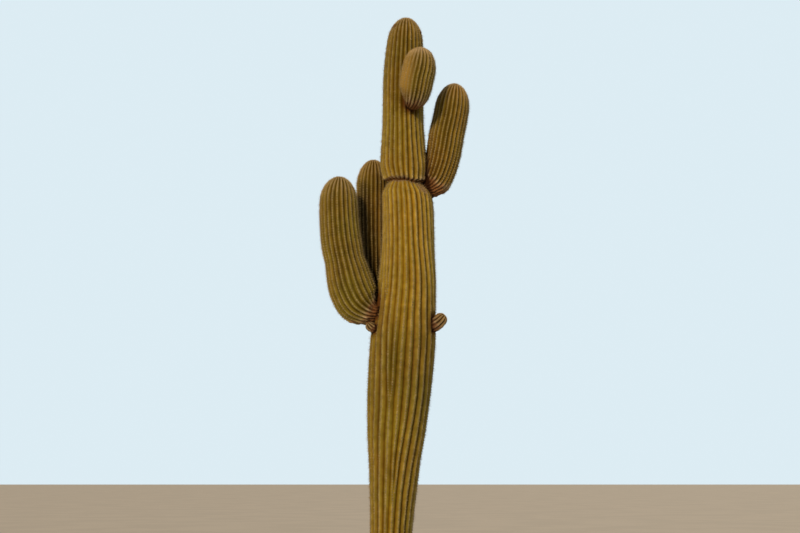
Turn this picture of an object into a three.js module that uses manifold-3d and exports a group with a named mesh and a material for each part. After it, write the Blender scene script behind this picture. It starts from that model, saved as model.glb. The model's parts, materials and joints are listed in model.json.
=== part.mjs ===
// A saguaro cactus with four arms and two young buds.
// Millimetres. The origin is the middle of the flat cut at ground level. Seen from the front,
// +X is to the right, +Y is away from the viewer and +Z is up. An azimuth is the compass
// direction round the trunk, in degrees: 0 faces the viewer and 90 points to the right.
import * as THREE from 'three';
import { mergeVertices } from 'three/addons/utils/BufferGeometryUtils.js';
import Module from 'manifold-3d';

const wasm = await Module();
wasm.setup();

// Driving dimensions of the trunk.
const TRUNK_HEIGHT = 5745;
const CREASE_HEIGHT = 4181; // a pinch left by a pause in growth
const CREASE_DEPTH = 46;
const CREASE_REACH = 160; // how far above and below the pinch fades out
const TRUNK_DOME = { length: 250, bluntness: 2.5 };
const TRUNK_RIB_DEPTH = 22;
const FOOT_RIB_DEPTH = 9; // ribs are worn shallow on the woody foot
const FOOT_WORN_TO = 700;

// The trunk's lean: how far right of the origin its middle is, at each height.
const TRUNK_LEAN = [
  [0, 0],
  [1000, 52],
  [1900, 100],
  [2700, 157],
  [3250, 195],
  [3900, 205],
  [4330, 167],
  [5000, 161],
  [TRUNK_HEIGHT, 186],
];

// The trunk's radius over the crests of its ribs, at each height.
const TRUNK_GIRTH = [
  [0, 208],
  [60, 187],
  [200, 176],
  [1000, 185],
  [1540, 223],
  [1900, 261],
  [2300, 288],
  [2700, 294],
  [2900, 280],
  [3250, 261],
  [3550, 239],
  [3950, 231],
  [4181, 223],
  [4330, 217],
  [4560, 199],
  [4750, 189],
  [5146, 188],
  [5340, 181],
  [TRUNK_HEIGHT, 145],
];

// Ribs: each shows a V valley on either side and a flat crest. Some of the foot's ribs
// fork into two on the way up, and some forks close again at the crease.
const COLUMNS_PER_RIB = 3;
const FLANK_SHARE = 0.6; // the part of a rib's width that its two flanks take
const FOOT_RIBS = 20;
const FIRST_RIB_AZIMUTH = -17;
const FORK_OPENS_OVER = 400; // height in which a fork's new valley gets its full depth
const FORK_SPREADS_OVER = 1100; // height in which the two new ribs get their full width
const FORKS = [
  { rib: 0, opens: 1200 },
  { rib: 5, opens: 1500 },
  { rib: 7, opens: 2400 },
  { rib: 12, opens: 2700, closes: CREASE_HEIGHT },
  { rib: 14, opens: 1950 },
  { rib: 16, opens: 1350, closes: CREASE_HEIGHT },
  { rib: 18, opens: 2950, closes: CREASE_HEIGHT },
  { rib: 19, opens: 2050 },
];

// How far round the ribs have turned, in degrees, at each height.
const TRUNK_TWIST = [
  [0, 8],
  [2300, 8.5],
  [3000, 9.5],
  [3300, 8],
  [3700, 2.5],
  [CREASE_HEIGHT, 1],
  [TRUNK_HEIGHT, -1],
];

// Arms and buds. Each lies in the upright plane of its azimuth. Its path is a few stations
// [out from the trunk's middle, up from the seat], and its girth gives the radius over the
// crests at distances along the path. The path starts inside the trunk, which cuts it off.
// Below the dome at the tip, its skin has the given number of rings.
const ARMS = [
  {
    name: 'left_arm',
    azimuth: -85,
    seat: 2950,
    path: [[200, 0], [310, 10], [408, 76], [472, 190], [530, 390], [586, 667], [610, 1022], [602, 1248]],
    girth: [[0, 90], [110, 121], [230, 195], [362, 207], [566, 195], [845, 182], [1201, 173]],
    dome: { length: 250, bluntness: 2 },
    ribs: 24,
    ribDepth: 19,
    rings: 11,
  },
  {
    name: 'back_arm',
    azimuth: -133,
    seat: 3110,
    path: [[190, -20], [262, 0], [350, 56], [398, 180], [412, 440], [420, 790], [422, 1090], [422, 1334]],
    girth: [[0, 62], [75, 80], [179, 122], [312, 141], [572, 151], [922, 156], [1222, 159]],
    dome: { length: 265, bluntness: 2 },
    ribs: 24,
    ribDepth: 17,
    rings: 9,
  },
  {
    name: 'right_arm',
    azimuth: 97,
    seat: 4142,
    path: [[140, -45], [213, -22], [268, 32], [313, 140], [349, 283], [382, 474], [423, 663], [471, 977]],
    girth: [[0, 70], [76, 100], [153, 138], [268, 151], [412, 160], [605, 163], [800, 160]],
    dome: { length: 275, bluntness: 2.2 },
    ribs: 24,
    ribDepth: 17,
    rings: 9,
  },
  {
    name: 'upper_arm',
    azimuth: 24,
    seat: 4866,
    path: [[120, -4], [178, 0], [256, 20], [313, 90], [342, 232], [356, 368], [364, 473]],
    girth: [[0, 44], [58, 58], [112, 86], [150, 101], [250, 128], [405, 149], [540, 149]],
    dome: { length: 205, bluntness: 2.7 },
    ribs: 24,
    ribDepth: 14,
    rings: 7,
  },
];
const BUDS = [
  {
    name: 'right_bud',
    azimuth: 73,
    seat: 2822,
    path: [[215, 8], [280, 20], [330, 47], [378, 86]],
    girth: [[0, 78], [68, 75], [110, 67], [150, 60], [194, 56]],
    dome: { length: 54, bluntness: 2.3 },
    ribs: 10,
    ribDepth: 10,
    rings: 4,
  },
  {
    name: 'left_bud',
    azimuth: -69,
    seat: 2820,
    path: [[240, -32], [288, -26], [323, -8], [350, 22]],
    girth: [[0, 36], [43, 40], [82, 41], [127, 38]],
    dome: { length: 38, bluntness: 2.2 },
    ribs: 8,
    ribDepth: 6,
    rings: 3,
  },
];
const SEAT_GAP = 0.8; // an arm stops this far from the trunk's skin, measured level

// Where the rings of vertices lie along the limbs.
const FOOT_RINGS = [0, 30, 90, 200, 450];
const CREASE_RINGS = [-160, -90, -45, -15, 0, 15, 45, 90, 160]; // heights from the crease
const TRUNK_RING_SPACING = 185;
const ARM_RING_CROWDING = 1.25; // over 1, an arm's rings crowd towards the bend at its base
const DOME_RINGS = 4;

// Colours from the daylit plant.
const SKIN = { trunk: 0x8a6a28, arm: 0x6c5421, bud: 0x6a4a28 };
const SKIN_ROUGHNESS = 0.8;

// A smooth curve through [position, value] stations, read at one position.
function valueAt(stations, position) {
  const last = stations.length - 1;
  let k = 0;
  while (k < last - 1 && position > stations[k + 1][0]) k++;
  const slope = (a, b) => (stations[b][1] - stations[a][1]) / (stations[b][0] - stations[a][0]);
  const from = slope(Math.max(k - 1, 0), Math.min(k + 1, last));
  const to = slope(k, Math.min(k + 2, last));
  const [start, startValue] = stations[k];
  const [end, endValue] = stations[k + 1];
  const span = end - start;
  const t = THREE.MathUtils.clamp((position - start) / span, 0, 1);
  const t2 = t * t;
  const t3 = t2 * t;
  return (2 * t3 - 3 * t2 + 1) * startValue + (t3 - 2 * t2 + t) * span * from
    + (3 * t2 - 2 * t3) * endValue + (t3 - t2) * span * to;
}

// The share of its girth that a limb keeps in the dome at its tip.
function domeShare(dome, distance, length) {
  const into = THREE.MathUtils.clamp((distance - length + dome.length) / dome.length, 0, 1);
  return Math.sqrt(1 - into ** dome.bluntness);
}

// Distances of the rings in the dome, closer together towards the tip.
function domeStations(dome, length) {
  const stations = [];
  for (let k = 1; k <= DOME_RINGS; k++) {
    const turn = (k / DOME_RINGS) * (Math.PI / 2);
    stations.push(length - dome.length * (1 - Math.sin(turn)));
  }
  return stations;
}

// How high the skin stands across one rib: 0 in the valleys, 1 on the crest.
function ribRise(across) {
  return Math.min(1, (1 - Math.abs(2 * across - 1)) / FLANK_SHARE);
}

// The trunk's columns at one height, as the turn round the trunk and the rise of each.
function trunkColumns(height) {
  const columns = [];
  let start = 0;
  for (let rib = 0; rib < FOOT_RIBS; rib++) {
    const fork = FORKS.find((entry) => entry.rib === rib);
    const isForked = fork && height <= (fork.closes ?? TRUNK_HEIGHT);
    const above = isForked ? height - fork.opens : 0;
    const open = THREE.MathUtils.smoothstep(above, 0, FORK_OPENS_OVER);
    const width = 1 + THREE.MathUtils.smoothstep(above, 0, FORK_SPREADS_OVER);
    const count = fork ? 2 * COLUMNS_PER_RIB : COLUMNS_PER_RIB;
    for (let k = 0; k < count; k++) {
      const across = k / count;
      const rise = THREE.MathUtils.lerp(ribRise(across), ribRise((2 * across) % 1), open);
      columns.push({ turn: start + across * width, rise });
    }
    start += width;
  }
  const offset = THREE.MathUtils.degToRad(FIRST_RIB_AZIMUTH + valueAt(TRUNK_TWIST, height));
  for (const column of columns) column.turn = (column.turn / start) * 2 * Math.PI + offset;
  return columns;
}

// A lathe whose every vertex is then set on the ribbed, bent skin. Each ring gives its lathe
// radius and height, and place(column) for the vertex of that column.
function ribbedLathe(rings, columnCount) {
  const profile = rings.map(({ radius, distance }) => new THREE.Vector2(radius, distance));
  const geometry = new THREE.LatheGeometry(profile, columnCount);
  const position = geometry.getAttribute('position');
  for (let vertex = 0; vertex < position.count; vertex++) {
    const ring = rings[vertex % rings.length];
    const point = ring.place(Math.floor(vertex / rings.length) % columnCount);
    position.setXYZ(vertex, point.x, point.y, point.z);
  }
  return geometry;
}

// Evenly spaced heights between two others, both left out.
function heightsBetween(low, high) {
  const count = Math.round((high - low) / TRUNK_RING_SPACING);
  const heights = [];
  for (let k = 1; k < count; k++) heights.push(low + (high - low) * (k / count));
  return heights;
}

function trunkRingHeights() {
  const crease = CREASE_RINGS.map((step) => CREASE_HEIGHT + step);
  return [
    ...FOOT_RINGS,
    ...heightsBetween(FOOT_RINGS.at(-1), crease[0]),
    ...crease,
    ...heightsBetween(crease.at(-1), TRUNK_HEIGHT - TRUNK_DOME.length),
    TRUNK_HEIGHT - TRUNK_DOME.length,
    ...domeStations(TRUNK_DOME, TRUNK_HEIGHT),
  ];
}

// The trunk, with its sections level, grown outwards by the given amount.
function trunkGeometry(growth) {
  const rings = trunkRingHeights().map((height) => {
    const pinch = CREASE_DEPTH * Math.max(0, 1 - Math.abs(height - CREASE_HEIGHT) / CREASE_REACH) ** 2;
    const share = domeShare(TRUNK_DOME, height, TRUNK_HEIGHT);
    const radius = (valueAt(TRUNK_GIRTH, height) - pinch) * share + (share > 0 ? growth : 0);
    const worn = THREE.MathUtils.smoothstep(height, 0, FOOT_WORN_TO);
    const depth = THREE.MathUtils.lerp(FOOT_RIB_DEPTH, TRUNK_RIB_DEPTH, worn) * share;
    const columns = trunkColumns(height);
    const middle = valueAt(TRUNK_LEAN, height);
    const place = (k) => {
      const reach = radius - depth * (1 - columns[k].rise);
      const { turn } = columns[k];
      return new THREE.Vector3(middle + reach * Math.sin(turn), -reach * Math.cos(turn), height);
    };
    return { radius, distance: height, place };
  });
  rings.unshift({ radius: 0, distance: 0, place: () => new THREE.Vector3(0, 0, 0) });
  return ribbedLathe(rings, trunkColumns(0).length);
}

// An arm or bud in its own frame: +X out from the trunk's middle, +Z up, seat at the origin.
function armGeometry({ path, girth, dome, ribs, ribDepth, rings: ringCount }) {
  const stations = path.map(([out, up]) => new THREE.Vector3(out, 0, up));
  const curve = new THREE.CatmullRomCurve3(stations, false, 'centripetal');
  const length = curve.getLength();
  const domeStart = length - dome.length;
  const distances = [];
  for (let k = 0; k <= ringCount; k++) {
    distances.push(domeStart * (k / ringCount) ** ARM_RING_CROWDING);
  }
  distances.push(...domeStations(dome, length));
  const columnCount = ribs * COLUMNS_PER_RIB;
  const side = new THREE.Vector3(0, 1, 0);
  const rings = distances.map((distance) => {
    const middle = curve.getPointAt(Math.min(distance / length, 1));
    const tangent = curve.getTangentAt(Math.min(distance / length, 1));
    const outward = new THREE.Vector3().crossVectors(side, tangent);
    const share = domeShare(dome, distance, length);
    const radius = valueAt(girth, distance) * share;
    const depth = ribDepth * Math.min(1, radius / valueAt(girth, domeStart));
    const place = (k) => {
      const turn = (k / columnCount) * 2 * Math.PI;
      const reach = radius - depth * (1 - ribRise((k / COLUMNS_PER_RIB) % 1));
      return middle.clone()
        .addScaledVector(outward, reach * Math.cos(turn))
        .addScaledVector(side, reach * Math.sin(turn));
    };
    return { radius, distance, place };
  });
  const root = curve.getPointAt(0);
  rings.unshift({ radius: 0, distance: 0, place: () => root });
  return ribbedLathe(rings, columnCount);
}

// A closed solid from a geometry, and a geometry from a solid.
function toSolid(geometry) {
  geometry.deleteAttribute('normal');
  geometry.deleteAttribute('uv');
  const merged = mergeVertices(geometry);
  const index = merged.getIndex().array;
  const triangles = [];
  for (let k = 0; k < index.length; k += 3) {
    const [a, b, c] = [index[k], index[k + 1], index[k + 2]];
    if (a !== b && b !== c && c !== a) triangles.push(a, b, c);
  }
  return new wasm.Manifold(new wasm.Mesh({
    numProp: 3,
    vertProperties: new Float32Array(merged.getAttribute('position').array),
    triVerts: new Uint32Array(triangles),
  }));
}

function toGeometry(solid) {
  const mesh = solid.getMesh();
  const geometry = new THREE.BufferGeometry();
  geometry.setAttribute('position', new THREE.BufferAttribute(mesh.vertProperties, 3));
  geometry.setIndex(new THREE.BufferAttribute(mesh.triVerts, 1));
  geometry.computeVertexNormals();
  return geometry;
}

function skinMesh(name, solid, color) {
  const material = new THREE.MeshStandardMaterial({ color, roughness: SKIN_ROUGHNESS, metalness: 0 });
  const mesh = new THREE.Mesh(toGeometry(solid), material);
  mesh.name = name;
  return mesh;
}

// An arm or bud seated on the trunk: turned to its azimuth and cut off at the trunk's skin.
function seatedArm(arm, trunkOutside, color) {
  const placement = new THREE.Object3D();
  placement.position.set(valueAt(TRUNK_LEAN, arm.seat), 0, arm.seat);
  placement.rotation.z = THREE.MathUtils.degToRad(arm.azimuth - 90);
  placement.updateMatrix();
  const trunkHere = trunkOutside.transform(placement.matrix.clone().invert().toArray());
  const cut = toSolid(armGeometry(arm)).subtract(trunkHere);
  const largest = cut.decompose().sort((a, b) => b.volume() - a.volume())[0];
  const mesh = skinMesh(arm.name, largest, color);
  mesh.position.copy(placement.position);
  mesh.rotation.copy(placement.rotation);
  return mesh;
}

const group = new THREE.Group();
group.add(skinMesh('trunk', toSolid(trunkGeometry(0)), SKIN.trunk));
const trunkOutside = toSolid(trunkGeometry(SEAT_GAP));
for (const arm of ARMS) group.add(seatedArm(arm, trunkOutside, SKIN.arm));
for (const bud of BUDS) group.add(seatedArm(bud, trunkOutside, SKIN.bud));

export default group;
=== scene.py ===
import json
import math

import bpy
import numpy as np
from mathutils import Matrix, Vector
from numpy.linalg import norm

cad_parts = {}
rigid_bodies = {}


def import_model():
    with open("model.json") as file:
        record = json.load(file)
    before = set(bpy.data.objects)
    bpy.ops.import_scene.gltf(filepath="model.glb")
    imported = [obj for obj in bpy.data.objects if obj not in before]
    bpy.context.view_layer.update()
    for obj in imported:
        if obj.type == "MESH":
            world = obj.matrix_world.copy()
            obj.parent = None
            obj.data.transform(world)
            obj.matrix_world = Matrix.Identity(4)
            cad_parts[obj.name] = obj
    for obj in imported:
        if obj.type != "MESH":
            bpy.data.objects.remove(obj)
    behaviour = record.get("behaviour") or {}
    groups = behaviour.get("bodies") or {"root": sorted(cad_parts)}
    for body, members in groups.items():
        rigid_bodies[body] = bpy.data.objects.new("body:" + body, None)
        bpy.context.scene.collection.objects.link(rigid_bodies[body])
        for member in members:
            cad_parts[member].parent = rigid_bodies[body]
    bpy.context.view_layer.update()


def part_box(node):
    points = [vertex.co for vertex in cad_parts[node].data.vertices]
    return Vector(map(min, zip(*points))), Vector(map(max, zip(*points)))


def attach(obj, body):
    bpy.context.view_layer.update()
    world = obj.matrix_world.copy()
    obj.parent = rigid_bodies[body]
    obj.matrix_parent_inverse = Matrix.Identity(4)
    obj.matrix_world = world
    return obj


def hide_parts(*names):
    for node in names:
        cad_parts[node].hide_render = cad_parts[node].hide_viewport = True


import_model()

# A saguaro cactus. Metres. The trunk and its limbs follow the stations of their solids, with small
# corrections. Azimuth 0 faces the viewer and 90 points right. Ribs, skin relief, areoles and spines
# are then grown on them.


# curves and small sums

def smoothStep(value, low, high):
    t = np.clip((value - low) / (high - low), 0, 1)
    return t * t * (3 - 2 * t)


def blendOf(first, second, share):
    return first + (second - first) * share


def bell(offset, reach):  # 1 where the offset is 0, and almost nothing beyond twice the reach
    return np.exp(-(offset / reach) ** 2)


def unit(vectors):
    return vectors / np.maximum(norm(vectors, axis=-1, keepdims=True), 1e-9)


def cubic(t, first, second, leaving, arriving):  # from one value to the next, with its end slopes
    return (first + leaving * t + (3 * (second - first) - 2 * leaving - arriving) * t**2
            + (2 * (first - second) + leaving + arriving) * t**3)


def valueAt(stations, at):  # smooth curve through (place, value) stations
    places, values = np.array(stations, float).T
    last = len(places) - 1
    k = np.clip(np.searchsorted(places, at) - 1, 0, last - 1)

    def slope(a, b):
        return (values[b] - values[a]) / (places[b] - places[a])

    leaving = slope(np.maximum(k - 1, 0), np.minimum(k + 1, last))
    arriving = slope(k, np.minimum(k + 2, last))
    span = places[k + 1] - places[k]
    t = np.clip((at - places[k]) / span, 0, 1)
    return cubic(t, values[k], values[k + 1], span * leaving, span * arriving)


def smoothPath(stations):  # centripetal Catmull-Rom, densely sampled
    points = np.array(stations, float)
    points = np.vstack([2 * points[0] - points[1], points, 2 * points[-1] - points[-2]])
    gaps = norm(np.diff(points, axis=0), axis=1) ** 0.5
    t = np.linspace(0, 1, 120, endpoint=False)[:, None]
    line = []
    for k in range(1, len(points) - 2):
        x0, x1, x2, x3 = points[k - 1:k + 3]
        d0, d1, d2 = gaps[k - 1:k + 2]
        leaving = ((x1 - x0) / d0 - (x2 - x0) / (d0 + d1) + (x2 - x1) / d1) * d1
        arriving = ((x2 - x1) / d1 - (x3 - x1) / (d1 + d2) + (x3 - x2) / d2) * d1
        line.append(cubic(t, x1, x2, leaving, arriving))
    return np.vstack([*line, points[-2:-1]])


def domeShare(dome, distance, length):  # what a limb keeps of its girth in its tip
    span, bluntness = dome
    into = np.clip((distance - length + span) / span, 0, 1)
    return np.sqrt(1 - into**bluntness)


def domeRows(dome, length, count):  # closer and closer rows up to the tip
    turns = np.linspace(0, math.pi / 2, count + 1)[:-1]
    return length - dome[0] + dome[0] * np.sin(turns)


def girthAt(limb, places, length):
    return valueAt(limb["girth"], places) * domeShare(limb["dome"], places, length)


# node trees, meshes and pieces

class Graph:  # a node tree, with short ways to add nodes to it and to link them
    def __init__(self, tree):
        self.tree = tree

    def feed(self, socket, value):  # value is a socket to link, a plain value or a colour
        if isinstance(value, bpy.types.NodeSocket):
            self.tree.links.new(value, socket)
        else:
            socket.default_value = (*value, 1) if socket.type == "RGBA" else value

    def node(self, kind, inputs=None, **settings):
        node = self.tree.nodes.new(kind)
        for key, value in settings.items():
            setattr(node, key, value)
        for key, value in (inputs or {}).items():
            self.feed(node.inputs[key], value)
        return node

    def out(self, kind, inputs=None, slot=0, **settings):
        return self.node(kind, inputs, **settings).outputs[slot]

    def maths(self, operation, *values):
        return self.out("ShaderNodeMath", dict(enumerate(values)), operation=operation)

    def plus(self, first, second):
        return self.maths("ADD", first, second)

    def minus(self, first, second):
        return self.maths("SUBTRACT", first, second)

    def times(self, first, second):
        return self.maths("MULTIPLY", first, second)

    def timesPlus(self, first, second, third):
        return self.maths("MULTIPLY_ADD", first, second, third)

    def mix(self, share, first, second):  # of two plain values
        return self.out("ShaderNodeMix", {0: share, 2: first, 3: second})

    def tint(self, share, first, second, blend="MIX"):  # of two colours
        return self.out("ShaderNodeMix", {0: share, 6: first, 7: second}, data_type="RGBA",
                        blend_type=blend, slot=2)

    def ease(self, value, low, high, start=0.0, end=1.0):
        return self.out("ShaderNodeMapRange", {0: value, 1: low, 2: high, 3: start, 4: end},
                        interpolation_type="SMOOTHSTEP")

    def noise(self, place, scale, detail, roughness, distortion=0.0):
        return self.out("ShaderNodeTexNoise", {
            "Vector": place, "Scale": scale, "Detail": detail, "Roughness": roughness,
            "Distortion": distortion})

    def named(self, name, kind="FLOAT"):  # a mesh attribute, in Geometry Nodes
        return self.out("GeometryNodeInputNamedAttribute", {"Name": name}, data_type=kind)


def newGroup(name, kind, inputs, outputs):  # a node group, with its sockets as name: kind
    graph = Graph(bpy.data.node_groups.new(name, kind))
    for way, sockets in (("INPUT", inputs), ("OUTPUT", outputs)):
        for label, socket in sockets.items():
            graph.tree.interface.new_socket(label, in_out=way, socket_type="NodeSocket" + socket)
    return graph, graph.node("NodeGroupInput").outputs, graph.node("NodeGroupOutput").inputs


def growNodes(piece, tree, values):  # runs a tree on a piece and leaves a plain mesh
    modifier = piece.modifiers.new("grow", "NODES")
    modifier.node_group = tree
    for item in tree.interface.items_tree:
        if item.in_out == "INPUT" and item.name in values:
            modifier[item.identifier] = values[item.name]
    graph = bpy.context.evaluated_depsgraph_get()
    grown = bpy.data.meshes.new_from_object(
        piece.evaluated_get(graph), preserve_all_data_layers=True, depsgraph=graph)
    piece.modifiers.remove(modifier)
    spent = piece.data
    piece.data = grown
    grown.name = piece.name
    bpy.data.meshes.remove(spent)
    return piece


def meshOf(name, verts, faces, values=None, vectors=None):
    mesh = bpy.data.meshes.new(name)
    mesh.from_pydata(np.asarray(verts).tolist(), [], faces)
    for kind, field, layers in (("FLOAT", "value", values), ("FLOAT_VECTOR", "vector", vectors)):
        for key, data in (layers or {}).items():
            layer = mesh.attributes.new(key, kind, "POINT")
            layer.data.foreach_set(field, np.ascontiguousarray(data, np.float32).ravel())
    mesh.update()
    return mesh


def addPiece(name, data):
    piece = bpy.data.objects.new(name, data)
    bpy.context.scene.collection.objects.link(piece)
    return piece


def settle(piece, slotName, *nodes):  # every piece of the plant stands still with the root
    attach(piece, "root")
    if nodes:
        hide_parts(*nodes)


# finishes

skinTones = ("Crest", "Flank", "Valley", "Young", "Pale", "Tan", "Cork", "Dark Cork", "Seam")
gloss = 0.12


def toneDriftGroup():  # one tone that drifts to another in soft blotches and specks
    graph, got, put = newGroup("Tone Drift", "ShaderNodeTree", {
        "Tone": "Color", "Other Tone": "Color", "Blotch Scale": "Float", "Speck Scale": "Float"},
        {"Color": "Color", "Height": "Float"})
    place = graph.out("ShaderNodeTexCoord", slot="Object")
    blotch = graph.noise(place, got["Blotch Scale"], 3.0, 0.55)
    speck = graph.noise(place, got["Speck Scale"], 2.0, 0.6)
    share = graph.plus(graph.ease(blotch, 0.36, 0.64), graph.ease(speck, 0.3, 0.7, -0.25, 0.25))
    graph.feed(put["Color"], graph.tint(share, got["Tone"], got["Other Tone"]))
    graph.feed(put["Height"], speck)
    return graph.tree


def ribToneGroup():  # colour across and along the ribs, with cork over it
    graph, got, put = newGroup("Rib Tone", "ShaderNodeTree", {
        **dict.fromkeys(skinTones, "Color"), "Green": "Float"},
        {"Color": "Color", "Roughness": "Float", "Height": "Float"})
    ease, times, tint, noise = graph.ease, graph.times, graph.tint, graph.noise

    def stored(name):
        return graph.out("ShaderNodeAttribute", attribute_name=name, slot="Fac")

    def colourOf(red, green, blue):
        return graph.out("ShaderNodeCombineColor", {0: red, 1: green, 2: blue})

    def shaded(share, tone, shade):
        return tint(share, tone, shade, "MULTIPLY")

    place = graph.out("ShaderNodeTexCoord", slot="Object")
    flat = graph.out("ShaderNodeMapping", {"Vector": place, "Scale": (1.0, 1.0, 3.4)})
    broad = noise(place, 2.6, 3.0, 0.6)
    patchy = noise(place, 17.0, 4.0, 0.6)
    fine = noise(place, 210.0, 3.0, 0.6)
    flake = noise(place, 95.0, 4.0, 0.65)
    folds = noise(flat, 46.0, 3.0, 0.55, 0.4)
    rise, cork = stored("rise"), stored("corkMask")

    # from the valleys to the crests, greener in broad patches, paler on the young tips
    wobble = graph.timesPlus(graph.minus(patchy, 0.5), 0.34, rise)
    tone = tint(ease(wobble, 0.02, 0.66), got["Valley"], got["Flank"])
    tone = tint(ease(wobble, 0.8, 1.02), tone, got["Crest"])
    tone = shaded(times(ease(broad, 0.35, 0.68), got["Green"]), tone, (0.86, 1.08, 1.05))
    tone = tint(times(stored("age"), ease(rise, 0.45, 0.95, 0.0, 0.9)), tone, got["Young"])

    # duller by height, partly older skin and partly painted shade; brighter or darker rib by rib and
    # patch by patch, and painted shadow where a limb lies beside another
    tone = shaded(stored("worn"), tone, (0.58, 0.58, 0.56))
    vary = graph.timesPlus(stored("vary"), 0.26, 0.87)
    tone = shaded(1.0, tone, colourOf(vary, vary, vary))
    mottle = ease(patchy, 0.25, 0.75, 0.8, 1.18)
    tone = shaded(1.0, tone, colourOf(mottle, mottle, ease(patchy, 0.25, 0.75, 0.84, 1.14)))

    # darker between the areoles, then painted light on a limb's left side, or warmer where a limb is
    beat = graph.maths("COSINE", times(stored("beats"), math.tau))
    pinch = times(ease(beat, -0.2, -1.0), ease(rise, 0.75, 0.98))
    tone = tint(times(pinch, 0.3), tone, got["Valley"])
    tone = tint(stored("tan"), tone, got["Tan"])
    tone = shaded(stored("warm"), tone, (1.14, 0.93, 0.66))

    # cork, the painted shade near other limbs, in the valleys and at the roots (with the scars' own
    # darkness), bleached ends and the painted shade in the crease and round each seat
    raised = graph.timesPlus(rise, 0.16, flake)
    scab = tint(ease(raised, 0.40, 0.66), got["Dark Cork"], got["Cork"])
    tone = shaded(stored("near"), tint(cork, tone, scab), (0.42, 0.29, 0.28))
    tone = tint(stored("pale"), tone, got["Pale"])
    graph.feed(put["Color"], tint(stored("seam"), tone, got["Seam"]))
    graph.feed(put["Roughness"], graph.mix(cork, ease(fine, 0.3, 0.7, 0.5, 0.66), 0.92))
    relief = graph.plus(times(folds, 0.6), times(fine, 0.35))
    graph.feed(put["Height"], graph.mix(cork, relief, times(flake, 2.2)))
    return graph.tree


def newMaterial(name, group, inputs, bump, roughness=None):  # the group gives what isn't set here
    material = bpy.data.materials.new(name)
    material.use_nodes = True
    graph = Graph(material.node_tree)
    tones = graph.node("ShaderNodeGroup", inputs, node_tree=group).outputs
    normal = graph.out("ShaderNodeBump", {"Height": tones["Height"], **bump})
    shader = graph.tree.nodes["Principled BSDF"].inputs
    graph.feed(shader["Base Color"], tones["Color"])
    graph.feed(shader["Roughness"], tones["Roughness"] if roughness is None else roughness)
    graph.feed(shader["Normal"], normal)
    graph.feed(shader["Specular IOR Level"], gloss)
    return material


def driftMaterial(name, tones, blotch, speck, roughness, depth):
    return newMaterial(name, toneDrift, {
        "Tone": tones[0], "Other Tone": tones[1], "Blotch Scale": blotch, "Speck Scale": speck},
        {"Distance": depth}, roughness)


skinLooks = {
    "trunk": {"Crest": (0.52, 0.42, 0.16), "Flank": (0.36, 0.255, 0.028), "Valley": (0.30, 0.17, 0.010),
              "Young": (0.40, 0.315, 0.155), "Pale": (0.62, 0.54, 0.40),
              "Cork": (0.33, 0.24, 0.135), "Dark Cork": (0.10, 0.060, 0.030),
              "Seam": (0.095, 0.038, 0.007), "Green": 0.55},
    "arm": {"Crest": (0.32, 0.25, 0.078), "Flank": (0.18, 0.127, 0.012), "Valley": (0.085, 0.050, 0.0025),
            "Young": (0.38, 0.305, 0.165), "Pale": (0.66, 0.53, 0.35), "Tan": (0.36, 0.24, 0.06),
            "Cork": (0.31, 0.165, 0.066), "Dark Cork": (0.085, 0.033, 0.010),
            "Seam": (0.030, 0.011, 0.004), "Green": 0.7},
    "bud": {"Crest": (0.28, 0.20, 0.09), "Flank": (0.14, 0.09, 0.026), "Valley": (0.030, 0.013, 0.005),
            "Young": (0.30, 0.22, 0.12), "Pale": (0.50, 0.39, 0.25),
            "Cork": (0.20, 0.11, 0.055), "Dark Cork": (0.085, 0.036, 0.017),
            "Seam": (0.035, 0.013, 0.005), "Green": 0.2},
}
spineTones = {  # tone, other tone
    "young": ((0.62, 0.52, 0.33), (0.48, 0.37, 0.20)),
    "straw": ((0.43, 0.365, 0.215), (0.32, 0.26, 0.13)),
    "old": ((0.33, 0.285, 0.19), (0.22, 0.185, 0.12)),
    # the dark ones are shaded copies, for the painted shade beside a seat
    "dark": ((0.15, 0.115, 0.07), (0.09, 0.065, 0.035)),
}
padTones = {
    "young": ((0.50, 0.40, 0.21), (0.38, 0.285, 0.125)),
    "straw": ((0.48, 0.39, 0.19), (0.36, 0.285, 0.12)),
    "old": ((0.36, 0.29, 0.15), (0.25, 0.195, 0.09)),
    # the dark ones are shaded copies, for the painted shade beside a seat
    "dark": ((0.11, 0.075, 0.04), (0.06, 0.04, 0.02)),
}
toneDrift = toneDriftGroup()
ribTone = ribToneGroup()
skinMaterials = {key: newMaterial(key + " skin", ribTone, look, {"Distance": 0.0022, "Strength": 0.7})
                 for key, look in skinLooks.items()}
spineMaterials = {key: driftMaterial(key + " spines", tones, 9.0, 120.0, 0.55, 0.0003)
                  for key, tones in spineTones.items()}
padMaterials = {key: driftMaterial(key + " felt", tones, 14.0, 260.0, 0.95, 0.001)
                for key, tones in padTones.items()}
print("finishes:", len(bpy.data.materials), "materials")


# the skin's relief: ribs, knobs under the areoles, wrinkles and cork

ribForm = {"Crest Power": 1.6, "Knob Height": 0.0016, "Wrinkle Height": 0.0032}
fullRibDepth = 0.022  # where ribs are shallower, their knobs and wrinkles are smaller too


def ribRise(whole, half, fork):  # 0 in the valleys, 1 on the crests
    power = ribForm["Crest Power"]
    return blendOf(1 - np.abs(2 * whole - 1) ** power, 1 - np.abs(2 * half - 1) ** power, fork)


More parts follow.
